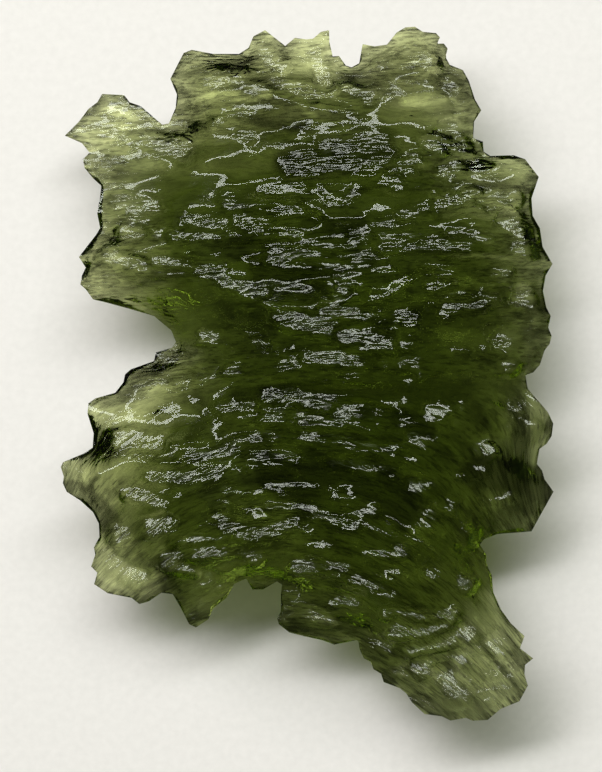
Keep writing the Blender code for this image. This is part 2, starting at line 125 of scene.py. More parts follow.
BOTTOM_EDGE = [
    (9.38, -18.0), (8.6, -18.05), (8.25, -17.9), (7.45, -18.05), (7.0, -17.83), (6.1, -17.72),
    (5.45, -17.12), (5.15, -16.65), (4.8, -16.38), (3.98, -16.08), (3.85, -15.65), (3.45, -15.4),
    (3.3, -15.02), (2.95, -14.85), (2.72, -14.35), (2.65, -13.87), (2.1, -13.98), (1.4, -14.13),
    (0.8, -13.9), (-0.2, -13.68), (-0.95, -13.48), (-1.48, -13.05), (-1.58, -12.72), (-1.38, -12.4),
    (-1.38, -11.5), (-1.32, -10.98), (-1.58, -10.8), (-2.3, -11.22), (-2.85, -11.22), (-3.18, -10.65),
    (-3.8, -10.92), (-4.2, -11.65), (-4.9, -12.2), (-5.15, -12.78), (-5.8, -13.2), (-6.15, -13.02),
    (-6.6, -12.15), (-7.0, -11.47), (-7.6, -11.4), (-8.25, -11.85), (-8.75, -12.0), (-9.15, -11.68),
    (-10.4, -11.45), (-11.12, -10.98)]
LEFT_EDGE = [
    (-11.12, -10.98), (-10.95, -10.38), (-11.27, -10.05), (-11.05, -9.42), (-11.12, -9.05),
    (-10.82, -8.5), (-10.85, -7.8), (-11.15, -7.2), (-11.8, -6.6), (-12.5, -6.15), (-12.7, -5.7),
    (-12.65, -5.35), (-12.8, -4.85), (-12.68, -4.6), (-11.6, -4.15), (-11.15, -3.85), (-11.1, -3.1),
    (-11.42, -2.1), (-11.38, -1.55), (-11.0, -1.28), (-10.0, -1.0), (-9.58, -0.45), (-9.5, -0.05),
    (-9.2, 0.22), (-8.0, 0.65), (-7.9, 1.1), (-7.05, 1.35), (-6.85, 1.65), (-7.1, 2.25), (-8.0, 3.0),
    (-9.2, 3.35), (-10.5, 3.7), (-11.15, 3.85), (-11.5, 4.35), (-11.8, 4.62), (-11.72, 5.08),
    (-11.52, 5.5), (-11.87, 6.05), (-11.45, 6.6), (-10.98, 7.2), (-10.77, 7.55), (-10.92, 8.3),
    (-10.78, 9.2), (-10.72, 9.75), (-11.15, 10.15), (-11.6, 10.7), (-11.7, 11.15), (-11.35, 11.5),
    (-11.75, 12.0), (-12.65, 12.4), (-11.95, 13.1), (-11.42, 13.8), (-10.95, 14.15), (-10.7, 14.57)]

# Thin parts: centre X and Y, reach in X and Y, share of the thickness missing (below zero, thicker).
THIN_PARTS = [
    (-10.3, 11.8, 3.4, 2.9, 0.44), (-5.4, 15.2, 2.2, 1.8, -0.3), (5.2, 15.8, 3.2, 1.2, -0.25),
    (0.2, 16.6, 1.6, 1.2, 0.15), (8.6, 11.0, 2.6, 2.6, 0.26), (12.0, -3.0, 1.6, 1.8, 0.1),
    (8.4, -16.0, 3.8, 3.2, 0.64), (-9.8, -10.2, 2.6, 2.3, 0.34), (-5.6, -12.2, 1.5, 1.6, 0.25),
    (10.6, -5.6, 2.0, 1.2, -0.2), (-9.2, -0.6, 1.8, 0.9, -0.25), (-8.4, -5.2, 1.8, 3.6, 0.15),
    (6.0, 13.2, 2.2, 1.2, 0.15), (-10.4, 8.4, 2.0, 1.6, 0.22), (-7.6, 9.6, 1.8, 1.8, 0.22)]

# Smooth scoops: centre X and Y, reach along and across, turn in degrees, depth (below zero a swelling).
SCOOPS = [
    (-3.8, 10.6, 2.3, 1.9, 0, 0.25), (-4.0, 14.0, 1.4, 0.8, 0, 0.4), (5.5, 13.1, 2.1, 1.6, 15, 0.6),
    (-8.0, -2.1, 3.1, 1.3, 4, 0.9), (9.0, 1.9, 2.3, 0.9, 0, 0.65), (4.6, 8.8, 1.7, 0.8, 8, 0.5),
    (8.3, 7.7, 1.9, 0.7, 5, 0.4), (1.6, 9.5, 1.1, 0.8, 0, 0.7), (1.6, 4.4, 0.95, 0.9, 0, 0.35),
    (-9.2, -7.1, 1.7, 1.0, 0, 0.3), (-2.2, -10.0, 2.0, 0.9, 0, 0.4), (-9.6, -10.3, 1.5, 1.0, 0, 0.35),
    (9.2, -11.6, 1.2, 2.2, 12, 0.35), (7.6, -16.6, 1.3, 1.0, 0, 0.35), (-9.4, 9.6, 1.9, 1.1, 0, 0.4),
    (0.0, 15.6, 1.5, 1.0, 0, 0.4), (7.6, 3.7, 0.9, 0.7, 0, 0.4), (-6.9, 12.1, 1.0, 0.7, 0, 0.3),
    (-2.2, 16.9, 0.8, 0.7, 0, -0.4), (0.7, 17.0, 0.7, 0.8, 0, -0.3), (-5.6, 15.7, 1.2, 0.9, 0, -0.2),
    (5.4, 17.2, 1.1, 0.8, 0, -0.35), (6.8, 4.6, 0.8, 0.6, 0, -0.3), (11.9, -3.1, 0.9, 1.3, 0, -0.3),
    (-1.7, 11.4, 0.8, 0.7, 0, -0.3), (2.0, 13.9, 0.9, 0.8, 0, -0.3)]

# Long furrows and ridges: start, bend and end points, half width, depth (below zero is a ridge).
FURROWS = [
    ((-11.6, 4.6), (-7.6, 4.1), (-2.4, 2.6), 1.25, 0.75),
    ((5.8, 5.75), (8.5, 5.55), (11.6, 5.8), 0.55, 0.45),
    ((0.0, -1.0), (5.0, -0.9), (11.2, -0.8), 0.95, 0.65),
    ((1.2, 15.4), (2.2, 14.5), (3.3, 15.8), 0.6, 0.55),
    ((3.0, 15.4), (5.5, 15.0), (8.0, 15.3), 0.6, 0.4),
    ((-9.6, -0.2), (-8.8, -0.7), (-7.6, -0.9), 0.55, 0.4),
    ((-12.2, -5.9), (-11.3, -7.0), (-10.2, -7.7), 0.6, 0.4),
    ((-4.8, -7.3), (-3.0, -9.3), (-0.3, -7.4), 0.7, 0.5),
    ((2.3, -5.3), (4.0, -6.5), (5.2, -7.2), 0.85, 0.65),
    ((-4.8, -2.2), (-3.5, -2.9), (-2.2, -3.3), 0.85, 0.55),
    ((-2.4, -4.6), (-1.0, -5.8), (0.4, -6.6), 0.9, 0.65),
    ((8.8, -5.6), (10.3, -5.3), (11.8, -5.7), 0.7, 0.55),
    ((-4.8, 6.3), (-3.2, 6.5), (-1.6, 6.2), 0.75, 0.5),
    ((-2.4, 4.9), (-1.0, 4.6), (0.6, 4.4), 0.8, 0.5),
    ((-7.3, -9.6), (-7.2, -10.6), (-7.1, -11.6), 0.6, 0.65),
    ((-6.5, 14.2), (-6.0, 13.0), (-6.4, 11.4), 0.65, 0.65),
    ((-0.5, -11.3), (1.6, -10.6), (3.2, -13.2), 0.75, 0.4),
    ((6.0, -9.2), (7.6, -10.6), (8.0, -13.0), 0.7, 0.4),
    ((-10.6, 7.4), (-7.0, 7.9), (-3.6, 8.4), 0.8, 0.3), ((3.4, 4.4), (6.0, 3.2), (9.6, 3.1), 0.6, 0.35),
    ((-6.6, -5.9), (-4.0, -6.3), (-2.4, -6.8), 0.7, 0.4),
    ((-12.6, -5.0), (-10.0, -4.8), (-6.6, -4.6), 0.6, -0.35),
    ((7.2, -2.5), (10.0, -3.0), (12.5, -3.0), 0.5, -0.35),
    ((3.8, 6.5), (8.0, 6.5), (11.6, 6.6), 0.5, -0.3), ((-3.9, 7.7), (-2.0, 8.0), (0.0, 7.5), 0.7, -0.3),
    ((7.3, 10.2), (10.0, 10.8), (12.1, 9.9), 0.7, -0.1),
    ((1.3, -9.6), (4.2, -10.6), (6.2, -13.8), 0.7, -0.4),
    ((-11.2, -0.8), (-7.6, 0.2), (-4.9, -2.1), 0.45, -0.3),
    ((-10.8, -3.7), (-8.6, -4.1), (-5.4, -3.4), 0.45, -0.25),
    ((-9.0, -5.9), (-6.4, -5.2), (-3.6, -5.4), 0.5, -0.25),
    ((-10.9, 5.8), (-8.0, 5.1), (-4.4, 5.4), 0.5, -0.3),
    ((0.2, -2.3), (3.0, -3.0), (6.2, -4.7), 0.6, -0.3),
    ((-6.9, -9.3), (-5.0, -9.7), (-2.9, -9.0), 0.5, -0.3),
    ((8.9, -14.4), (10.2, -15.2), (10.3, -16.6), 0.5, -0.3)]

# Feet cut level at the paper: centre X and Y, reach.
FEET = [
    (-4.6, 7.4, 4.2), (4.8, 7.0, 4.2), (4.2, -7.4, 4.0), (-4.8, -5.6, 4.0)]

# Scoops and furrows of the back, listed as those of the front are.
BACK_SCOOPS = [
    (0.4, 12.2, 2.6, 1.5, 0, 0.7), (0.2, 2.0, 3.4, 2.3, 10, 0.6), (9.4, 2.2, 1.8, 1.6, 0, 0.5),
    (0.6, -7.4, 2.3, 1.9, 0, 0.6), (-8.6, 2.0, 1.5, 2.2, 0, 0.4), (7.6, -15.6, 1.8, 1.3, 0, 0.4)]
BACK_FURROWS = [
    ((-10.0, 7.0), (-3.0, 6.0), (1.6, 6.6), 0.8, 0.8),
    ((-9.4, -1.2), (-4.0, -2.6), (2.0, -2.8), 0.8, 0.8),
    ((4.0, -4.6), (7.0, -3.8), (11.4, -4.4), 0.75, 0.7),
    ((-3.0, -10.6), (0.0, -11.6), (2.4, -10.6), 0.75, 0.6),
    ((2.8, 14.6), (5.4, 13.4), (8.0, 13.8), 0.7, 0.6)]

# Patches of sharp striae that glitter: start, bend and end of the middle line, half width, strength.
GLITTER = [
    ((-0.7, 10.7), (1.5, 10.8), (3.7, 11.2), 0.7, 1.0),
    ((1.0, 11.8), (2.4, 11.9), (3.9, 12.0), 0.32, 0.9),
    ((4.4, 10.3), (5.0, 10.6), (5.6, 11.0), 0.32, 0.8), ((3.8, 9.9), (4.2, 9.8), (4.7, 9.6), 0.14, 0.6),
    ((-8.2, 12.2), (-7.4, 11.9), (-6.6, 11.5), 0.38, 0.8),
    ((-4.8, 12.9), (-3.9, 12.7), (-3.0, 12.1), 0.22, 0.9),
    ((-3.6, 13.5), (-3.2, 13.4), (-2.8, 13.2), 0.16, 0.7),
    ((-5.0, 15.0), (-4.2, 15.2), (-3.4, 15.2), 0.16, 0.7),
    ((-3.0, 14.5), (-2.6, 14.5), (-2.1, 14.6), 0.16, 0.7),
    ((-2.7, 17.3), (-2.2, 16.8), (-1.5, 16.2), 0.45, 0.6),
    ((-1.5, 14.9), (-0.3, 14.6), (1.2, 14.6), 0.24, 0.7),
    ((0.4, 16.8), (0.8, 15.9), (0.9, 15.2), 0.32, 0.6),
    ((2.1, 14.8), (2.7, 14.5), (3.2, 14.2), 0.24, 0.7),
    ((3.6, 16.7), (5.0, 16.6), (6.5, 16.5), 0.2, 0.6),
    ((3.6, 16.1), (5.0, 16.0), (6.8, 16.0), 0.12, 0.7),
    ((7.2, 12.6), (7.8, 12.5), (8.5, 12.3), 0.32, 0.8),
    ((6.3, 11.7), (7.2, 11.8), (8.1, 11.6), 0.28, 0.7),
    ((7.0, 10.5), (8.2, 10.6), (9.4, 10.9), 0.3, 0.6),
    ((7.4, 15.0), (8.0, 14.2), (8.3, 13.4), 0.35, 0.5),
    ((-10.0, 9.0), (-9.0, 8.7), (-8.0, 8.7), 0.38, 0.5),
    ((-9.4, 7.4), (-9.1, 7.4), (-8.8, 7.3), 0.2, 0.6),
    ((-6.8, 7.0), (-5.0, 7.0), (-3.0, 7.1), 0.13, 0.9),
    ((-6.2, 7.8), (-4.0, 7.8), (-2.0, 7.2), 0.33, 0.8),
    ((-4.0, 8.9), (-3.3, 7.9), (-0.6, 8.4), 0.28, 0.9),
    ((-3.4, 7.9), (-2.2, 7.4), (-0.8, 7.1), 0.38, 1.0),
    ((-1.8, 6.5), (0.5, 6.5), (2.2, 6.3), 0.25, 1.0), ((-1.8, 5.9), (0.5, 5.8), (3.0, 5.9), 0.25, 1.0),
    ((-1.0, 5.4), (0.5, 5.5), (1.8, 5.3), 0.12, 0.8), ((2.4, 5.4), (3.1, 5.3), (4.2, 5.2), 0.11, 0.9),
    ((2.3, 6.9), (3.6, 7.3), (5.0, 7.9), 0.33, 0.9), ((5.0, 8.2), (6.0, 8.5), (6.6, 8.9), 0.25, 0.7),
    ((4.0, 6.8), (7.0, 6.8), (11.3, 6.4), 0.42, 1.0), ((7.4, 7.3), (8.4, 7.4), (9.2, 7.0), 0.2, 0.8),
    ((8.9, 9.2), (9.8, 8.8), (10.8, 9.1), 0.36, 0.9), ((9.4, 8.6), (9.8, 8.3), (10.2, 8.5), 0.2, 0.8),
    ((10.2, 8.0), (10.8, 7.6), (11.2, 7.3), 0.3, 0.6), ((6.8, 8.7), (7.6, 8.9), (8.4, 9.2), 0.24, 0.7),
    ((6.8, 5.1), (8.5, 5.2), (10.3, 5.1), 0.13, 0.9),
    ((-10.4, 6.0), (-9.8, 5.8), (-9.0, 5.5), 0.27, 0.8),
    ((-8.8, 5.4), (-6.8, 5.2), (-4.5, 5.3), 0.24, 0.9),
    ((-7.8, 5.8), (-7.0, 5.7), (-6.2, 5.7), 0.12, 0.6),
    ((-4.1, 4.6), (-3.2, 4.3), (-2.2, 4.2), 0.22, 0.8), ((6.2, 4.5), (6.7, 4.4), (7.2, 4.3), 0.25, 0.9),
    ((7.0, 4.0), (8.4, 4.2), (9.6, 4.0), 0.13, 0.9), ((7.0, 3.3), (8.0, 3.3), (9.0, 3.5), 0.13, 0.9),
    ((11.0, 4.1), (11.7, 3.7), (12.2, 3.5), 0.3, 0.7), ((1.0, 3.1), (3.0, 3.2), (5.2, 2.7), 0.3, 0.9),
    ((-1.2, 2.8), (0.2, 2.5), (1.6, 2.1), 0.32, 1.0), ((1.8, 2.0), (3.2, 1.6), (4.8, 1.5), 0.28, 0.7),
    ((-5.4, 2.1), (-4.2, 2.0), (-2.6, 2.0), 0.13, 0.8),
    ((-5.2, 1.7), (-4.0, 1.6), (-2.2, 1.5), 0.25, 0.9),
    ((-7.5, 0.9), (-4.0, 1.0), (-0.6, 0.8), 0.14, 1.0),
    ((-4.0, 0.3), (-2.0, 0.5), (0.0, 0.4), 0.2, 0.8), ((0.2, 0.8), (2.5, 0.6), (5.5, 0.0), 0.3, 1.0),
    ((4.8, 1.7), (6.2, 1.3), (8.0, 1.0), 0.28, 0.8), ((5.0, 0.5), (7.5, 0.7), (10.6, 0.2), 0.28, 1.0),
    ((9.4, 2.2), (10.8, 2.1), (12.3, 2.2), 0.2, 0.9), ((10.0, 1.8), (11.0, 1.3), (12.0, 0.8), 0.4, 1.0),
    ((2.0, -0.1), (3.6, -0.1), (5.2, -0.5), 0.2, 0.9),
    ((-4.3, -1.9), (-3.0, -1.5), (-1.8, -2.2), 0.25, 0.8),
    ((-2.0, -1.2), (0.0, -1.1), (2.0, -1.9), 0.35, 1.0),
    ((1.8, -2.0), (3.4, -2.1), (5.4, -3.1), 0.4, 1.0),
    ((-2.0, -2.2), (-0.4, -2.0), (1.5, -2.9), 0.28, 0.9),
    ((-4.5, -4.0), (-2.4, -2.9), (0.2, -3.3), 0.22, 0.9),
    ((0.0, -3.2), (2.2, -3.4), (4.6, -4.2), 0.35, 1.0),
    ((-6.2, -4.2), (-4.6, -4.1), (-2.8, -3.5), 0.2, 0.9),
    ((-3.0, -4.3), (-2.0, -4.4), (-0.8, -4.3), 0.22, 0.8),
    ((1.2, -4.6), (2.8, -4.8), (4.4, -4.9), 0.15, 0.9),
    ((5.2, -4.3), (7.2, -4.9), (9.0, -4.8), 0.22, 0.8),
    ((5.4, -3.3), (7.2, -3.7), (9.2, -4.0), 0.3, 0.6),
    ((6.3, -2.0), (6.8, -1.9), (7.3, -2.0), 0.2, 0.8),
    ((7.5, -2.4), (9.5, -2.6), (12.0, -2.7), 0.15, 0.7),
    ((5.6, -5.8), (6.8, -6.3), (7.2, -7.0), 0.45, 0.9),
    ((6.2, -7.2), (6.9, -7.6), (8.4, -8.4), 0.3, 0.8),
    ((-9.3, -6.1), (-8.4, -6.2), (-7.5, -6.7), 0.25, 0.9),
    ((-7.9, -5.3), (-6.2, -5.4), (-4.6, -5.2), 0.25, 0.9),
    ((-4.2, -5.9), (-3.3, -6.2), (-2.4, -6.1), 0.16, 0.7),
    ((-1.8, -6.9), (0.2, -6.7), (2.4, -7.9), 0.22, 1.0),
    ((-4.6, -7.4), (-3.0, -8.9), (-0.8, -7.6), 0.33, 1.0),
    ((2.0, -7.2), (2.8, -7.3), (3.5, -7.2), 0.18, 0.9),
    ((-5.9, -8.8), (-5.3, -8.7), (-4.8, -8.6), 0.2, 0.9),
    ((9.0, -6.5), (9.8, -6.5), (10.4, -6.4), 0.16, 0.8),
    ((-10.0, -8.4), (-8.8, -8.2), (-7.4, -7.6), 0.42, 0.7),
    ((-11.0, -3.9), (-9.0, -4.0), (-7.0, -4.0), 0.24, 0.8),
    ((-9.8, -3.4), (-8.8, -3.3), (-7.8, -3.5), 0.26, 0.5),
    ((-7.2, -9.8), (-5.4, -8.8), (-2.8, -9.5), 0.25, 1.0),
    ((-6.4, -10.0), (-5.2, -10.2), (-3.8, -10.0), 0.2, 0.8),
    ((-5.2, -10.6), (-4.8, -10.8), (-4.0, -10.9), 0.25, 0.8),
    ((-5.4, -12.2), (-5.0, -11.6), (-4.2, -11.3), 0.3, 0.9),
    ((-0.5, -10.1), (1.3, -9.6), (2.8, -10.4), 0.25, 1.0),
    ((2.4, -10.5), (3.6, -11.0), (4.8, -12.0), 0.25, 1.0),
    ((3.0, -9.4), (4.2, -9.3), (5.6, -9.1), 0.18, 0.8),
    ((4.8, -8.8), (5.6, -9.2), (6.4, -9.7), 0.2, 0.7),
    ((6.4, -10.0), (7.2, -10.4), (8.3, -10.9), 0.3, 0.9),
    ((-1.3, -11.5), (-1.0, -11.4), (-0.7, -11.3), 0.22, 0.8),
    ((1.4, -11.9), (2.0, -11.4), (2.4, -12.0), 0.2, 0.8),
    ((0.2, -12.6), (0.7, -12.8), (1.1, -12.9), 0.2, 0.7),
    ((4.2, -12.4), (5.8, -12.6), (7.4, -12.6), 0.3, 1.0),
    ((4.6, -13.2), (6.0, -13.6), (7.0, -13.3), 0.4, 1.0),
    ((5.6, -14.3), (6.6, -14.3), (8.2, -13.4), 0.45, 0.8),
    ((8.0, -14.8), (8.6, -15.2), (9.4, -16.2), 0.55, 0.8),
    ((9.7, -14.0), (10.2, -14.3), (10.6, -14.8), 0.45, 1.0),
    ((10.0, -15.3), (10.3, -15.7), (10.6, -16.0), 0.35, 1.0),
    ((6.0, -17.0), (6.6, -17.2), (7.2, -17.6), 0.3, 0.8),
    ((5.0, -15.4), (5.5, -15.8), (5.6, -16.3), 0.4, 0.7),
    ((2.9, -13.6), (3.3, -14.0), (3.9, -14.3), 0.3, 0.6),
    ((-10.8, -9.4), (-9.8, -10.2), (-8.6, -10.8), 0.38, 0.5),
    ((-2.2, 9.5), (-1.4, 9.4), (-0.4, 9.7), 0.2, 0.5), ((0.6, 9.5), (1.6, 7.8), (2.6, 9.5), 0.05, 1.0),
    ((1.5, 4.8), (1.7, 4.5), (1.9, 4.1), 0.08, 1.0),
    ((5.8, -15.2), (6.6, -15.0), (7.6, -14.9), 0.4, 0.8),
    ((8.4, -16.8), (9.4, -16.6), (10.4, -16.6), 0.4, 0.8),
    ((8.6, -17.6), (9.2, -17.3), (9.8, -17.2), 0.35, 0.7),
    ((10.6, -14.9), (11.1, -14.8), (11.6, -14.7), 0.25, 0.7),
    ((7.2, -15.6), (7.6, -16.2), (7.8, -17.0), 0.45, 0.7),
    ((10.8, -15.4), (11.0, -16.0), (11.0, -16.6), 0.3, 0.7)]

# Furrowed places, most along the rim, that get painted shade in the base colour: start, bend and end of
# the middle line, half width, strength.
SHADED = [
    ((-6.6, 15.6), (-4.8, 15.4), (-2.4, 15.6), 1.1, 0.85),
    ((-6.4, 14.6), (-6.2, 13.8), (-6.7, 13.2), 0.6, 0.8),
    ((-2.8, 17.0), (-1.9, 16.6), (-1.2, 15.8), 0.6, 0.65),
    ((3.4, 16.4), (5.5, 16.8), (7.2, 16.4), 0.75, 0.7),
    ((2.8, 15.4), (5.2, 15.2), (8.2, 15.0), 0.8, 0.85),
    ((7.0, 16.2), (8.2, 15.0), (8.9, 13.7), 0.7, 0.8),
    ((-2.2, 13.3), (-1.4, 13.4), (-0.6, 13.0), 0.7, 0.85),
    ((-9.8, -0.6), (-8.8, 0.2), (-7.6, 0.9), 0.9, 1.0),
    ((-11.3, -1.3), (-10.2, -1.3), (-8.8, -0.9), 0.55, 0.85),
    ((-11.5, 6.2), (-10.8, 5.6), (-10.4, 4.6), 0.5, 0.5),
    ((-12.4, 12.5), (-11.5, 13.5), (-10.9, 14.3), 0.35, 0.8),
    ((-10.8, 14.4), (-9.6, 14.2), (-8.4, 13.6), 0.3, 0.7),
    ((-11.7, 11.2), (-10.8, 11.2), (-9.6, 11.1), 0.28, 0.8),
    ((-12.3, -6.0), (-11.2, -6.6), (-10.4, -7.6), 0.7, 1.0),
    ((-12.6, -4.9), (-12.3, -5.4), (-12.4, -6.0), 0.3, 0.6),
    ((11.7, 9.8), (11.4, 8.6), (11.9, 7.6), 0.5, 0.8), ((8.8, 9.7), (10.2, 9.9), (11.4, 9.4), 0.5, 0.7),
    ((12.0, 5.0), (12.2, 4.2), (12.3, 3.2), 0.5, 0.7),
    ((12.2, 2.4), (11.9, 1.4), (11.6, 0.6), 0.4, 0.6),
    ((9.0, -5.2), (10.6, -5.5), (12.2, -5.7), 1.0, 1.0),
    ((9.6, -7.6), (10.6, -7.2), (12.0, -6.9), 0.5, 0.7),
    ((9.4, -8.5), (9.8, -8.2), (11.4, -8.0), 0.3, 0.6),
    ((-2.0, -5.0), (-0.6, -5.5), (0.8, -5.2), 1.0, 1.0),
    ((-7.7, -9.9), (-7.3, -10.6), (-7.0, -11.3), 0.45, 0.9),
    ((4.2, -5.6), (5.2, -6.4), (5.0, -7.4), 0.6, 0.9),
    ((2.9, -13.5), (3.4, -14.4), (4.2, -15.8), 0.5, 0.7),
    ((5.6, -16.9), (6.4, -17.4), (7.4, -17.8), 0.35, 0.7),
    ((-1.4, -12.7), (0.0, -13.5), (1.6, -13.9), 0.3, 0.7),
    ((-11.1, -10.9), (-10.6, -11.3), (-9.6, -11.5), 0.25, 0.7),
    ((-5.6, -1.6), (-5.0, -2.3), (-6.0, -3.3), 0.35, 0.7),
    ((0.75, 4.4), (1.6, 6.1), (2.45, 4.4), 0.12, 0.6),
    ((0.75, 4.4), (1.6, 2.7), (2.45, 4.4), 0.12, 0.6), ((-2.2, 4.6), (-1.0, 4.9), (0.4, 4.5), 0.9, 0.9),
    ((0.2, 7.7), (1.4, 7.3), (2.6, 7.6), 0.5, 0.8), ((5.6, 2.9), (7.6, 2.9), (9.4, 2.8), 0.5, 0.8),
    ((-0.6, 10.8), (1.5, 11.0), (3.6, 11.6), 0.9, 0.85),
    ((6.4, 3.5), (8.2, 3.8), (10.0, 3.7), 0.45, 0.8), ((-4.4, 6.3), (-3.2, 6.5), (-1.8, 6.3), 0.5, 0.8),
    ((1.6, 1.9), (2.6, 1.7), (4.0, 2.1), 0.45, 0.85),
    ((-3.6, -1.2), (-1.4, -0.8), (1.0, -0.6), 0.4, 0.85),
    ((4.6, -2.4), (5.4, -2.6), (6.0, -2.8), 0.5, 0.8),
    ((-3.2, -5.2), (-3.0, -5.4), (-2.6, -5.6), 0.45, 0.7)]

# Smooth places where the glass is a clear window: centre X and Y, reach along and across.
WINDOWS = [
    (-4.4, 10.7, 3.1, 1.9), (5.4, 13.1, 2.2, 1.5), (-8.0, -2.1, 3.0, 1.1), (9.0, 1.9, 2.2, 0.7),
    (4.6, 8.8, 1.7, 0.7), (8.3, 7.7, 1.9, 0.5), (-7.0, 3.7, 3.6, 0.9), (5.5, -0.9, 5.5, 0.7),
    (-9.2, -7.1, 1.6, 0.9), (-2.4, -10.0, 1.9, 0.7), (9.2, -11.8, 1.0, 1.9), (9.6, 10.4, 2.2, 0.6),
    (-9.6, -4.9, 2.8, 0.5), (-9.6, -10.4, 1.4, 0.9), (0.0, 15.7, 1.4, 0.7), (-7.9, 9.6, 1.7, 1.7),
    (3.7, 11.8, 1.2, 0.6), (-6.0, 2.5, 1.8, 1.1), (-5.0, -1.7, 1.2, 0.8), (-7.2, -3.4, 1.4, 0.7),
    (-7.6, -6.2, 1.1, 0.9), (-5.0, -10.8, 1.2, 1.4), (3.6, -12.1, 1.2, 1.0), (7.8, -17.4, 1.6, 0.7)]


def share_out(points, cells):
    """Cells + 1 outline points: the longest gaps halved or the flattest points left out to fit."""
    pts = [np.array(p) for p in points]
    while len(pts) < cells + 1:
        gaps = [np.linalg.norm(b - a) for a, b in zip(pts, pts[1:])]
        k = int(np.argmax(gaps))
        pts.insert(k + 1, 0.5 * (pts[k] + pts[k + 1]))
    while len(pts) > cells + 1:
        flat = []
        for a, b, c in zip(pts, pts[1:], pts[2:]):
            chord = c - a
            flat.append(abs(chord[0] * (b - a)[1] - chord[1] * (b - a)[0]) / np.linalg.norm(chord))
        pts.pop(int(np.argmin(flat)) + 1)
    return np.array(pts)


def outline_sides():
    """The outline's right, top, left and bottom sides along the grid, scaled to the width and length."""
    right = share_out(RIGHT_EDGE[::-1], CELLS_ALONG)
    top = share_out(TOP_EDGE, CELLS_ACROSS)
    left = share_out(LEFT_EDGE, CELLS_ALONG)
    bottom = share_out(BOTTOM_EDGE[::-1], CELLS_ACROSS)
    every = np.concatenate([right, top, left, bottom])
    low, high = every.min(axis=0), every.max(axis=0)
    scale = np.array([WIDTH, LENGTH]) / (high - low)
    return [(side - (low + high) / 2) * scale for side in (right, top, left, bottom)]


def relaxed(plan, rounds):
    """The grid evened out so that no cell folds: rounds of inverse Laplace equations, the rim held."""
    plan = plan.copy()
    for _ in range(rounds):
        along_u = (plan[1:-1, 2:] - plan[1:-1, :-2]) / 2
        along_v = (plan[2:, 1:-1] - plan[:-2, 1:-1]) / 2
        twist = plan[2:, 2:] - plan[2:, :-2] - plan[:-2, 2:] + plan[:-2, :-2]
        a = (along_v ** 2).sum(-1, keepdims=True)
        c = (along_u ** 2).sum(-1, keepdims=True)
        b = (along_u * along_v).sum(-1, keepdims=True)
        even = a * (plan[1:-1, 2:] + plan[1:-1, :-2]) + c * (plan[2:, 1:-1] + plan[:-2, 1:-1])
        even -= b * twist / 2
        plan[1:-1, 1:-1] += 0.9 * (even / (2 * (a + c)) - plan[1:-1, 1:-1])
    return plan


def plan_grid(right, top, left, bottom):
    """Plan points of the grid: the four sides blended as a Coons patch, then relaxed."""
    u = np.linspace(0, 1, CELLS_ACROSS + 1)[None, :, None]
    v = np.linspace(0, 1, CELLS_ALONG + 1)[:, None, None]
    sides = (1 - v) * bottom[None] + v * top[None] + (1 - u) * left[:, None] + u * right[:, None]
    corners = (1 - v) * ((1 - u) * bottom[0] + u * bottom[-1]) + v * ((1 - u) * top[0] + u * top[-1])
    return relaxed(sides - corners, 400)


def divided(plan, across, along):
    """Each cell of the grid divided evenly between its four corners."""
    u = np.linspace(0, CELLS_ACROSS, CELLS_ACROSS * across + 1)
    v = np.linspace(0, CELLS_ALONG, CELLS_ALONG * along + 1)
    i = np.minimum(u.astype(int), CELLS_ACROSS - 1)
    j = np.minimum(v.astype(int), CELLS_ALONG - 1)
    s, t = (u - i)[None, :, None], (v - j)[:, None, None]
    low = plan[j][:, i] * (1 - s) + plan[j][:, i + 1] * s
    high = plan[j + 1][:, i] * (1 - s) + plan[j + 1][:, i + 1] * s
    return low * (1 - t) + high * t


def lattice(i, j, seed):
    """A fixed number from 0 to 1 for each whole pair, mixed by multiplying and folding its bits."""
    n = (i * 374761393 + j * 668265263 + seed * 1274126177) & 0xFFFFFFFF
    n = ((n ^ (n >> 13)) * 1103515245) & 0xFFFFFFFF
    return ((n ^ (n >> 16)) & 0xFFFF) / 65535.0


def noise(x, y, seed):
    """Smooth noise from -1 to 1: lattice numbers blended by the curve 3t^2 - 2t^3 in each cell."""
    i, j = np.floor(x).astype(np.int64), np.floor(y).astype(np.int64)
    fx, fy = x - i, y - j
    fx, fy = fx * fx * (3 - 2 * fx), fy * fy * (3 - 2 * fy)
    low = lattice(i, j, seed) * (1 - fx) + lattice(i + 1, j, seed) * fx
    high = lattice(i, j + 1, seed) * (1 - fx) + lattice(i + 1, j + 1, seed) * fx
    return 2 * (low * (1 - fy) + high * fy) - 1


def dimples(x, y, seed):
    """Distance to the nearest of points strewn one to a cell, up to 1: round pits with sharp crests."""
    i, j = np.floor(x).astype(np.int64), np.floor(y).astype(np.int64)
    near = np.full(x.shape, 9.0)
    for di in (-1, 0, 1):
        for dj in (-1, 0, 1):
            px = i + di + lattice(i + di, j + dj, seed)
            py = j + dj + lattice(i + di, j + dj, seed + 7)
            near = np.minimum(near, (x - px) ** 2 + (y - py) ** 2)
    return np.minimum(np.sqrt(near), 1.0)


def hollow(x, y, scoops):
    """Depth of all scoops: each deep * exp(-(a^2 + b^2)^1.3) on a turned ellipse."""
    depth = np.zeros_like(x)
    for cx, cy, rx, ry, turn, deep in scoops:
        c, s = math.cos(math.radians(turn)), math.sin(math.radians(turn))
        a = ((x - cx) * c + (y - cy) * s) / rx
        b = (-(x - cx) * s + (y - cy) * c) / ry
        depth += deep * np.exp(-(a * a + b * b) ** 1.3)
    return depth


